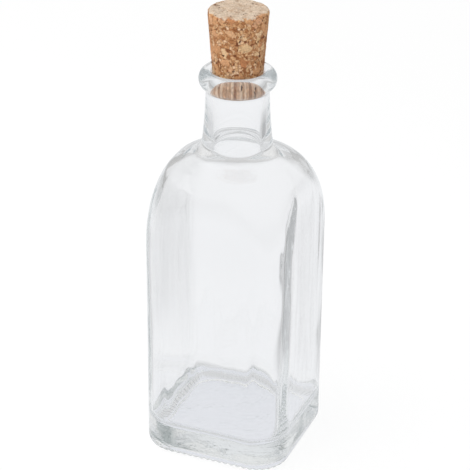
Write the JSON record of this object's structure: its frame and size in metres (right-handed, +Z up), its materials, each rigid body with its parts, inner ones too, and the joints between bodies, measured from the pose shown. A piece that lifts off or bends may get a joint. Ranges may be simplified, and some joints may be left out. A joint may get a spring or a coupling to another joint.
{
  "type": "corked glass bottle",
  "caption": "Square clear glass bottle with rounded corners, arched shoulders, a round neck with a beaded lip, and a tapered cork that pulls out of its mouth.",
  "frame": {"origin": "centre of the base, on the plane that the bottle stands on", "axes": "+Z up along the neck, towards the cork; -Y out of the wide face that the picture shows on the left, +X out of the narrow face on the right"},
  "size_m": [0.043, 0.043, 0.1312],
  "materials": {
    "glass": "clear flint glass, fire-polished, with a faint grey-green tint where it is thick",
    "cork": "dry pressed cork granules, matt, cream to red-brown"
  },
  "bodies": {
    "bottle": {"glass_bottle": "glass"},
    "cork": {"cork_stopper": "cork"}
  },
  "joints": [
    {"name": "cork_pull", "type": "slide", "parent": "bottle", "child": "cork", "axis": [0, 0, 1], "range_m": [0, 0.05]}
  ]
}
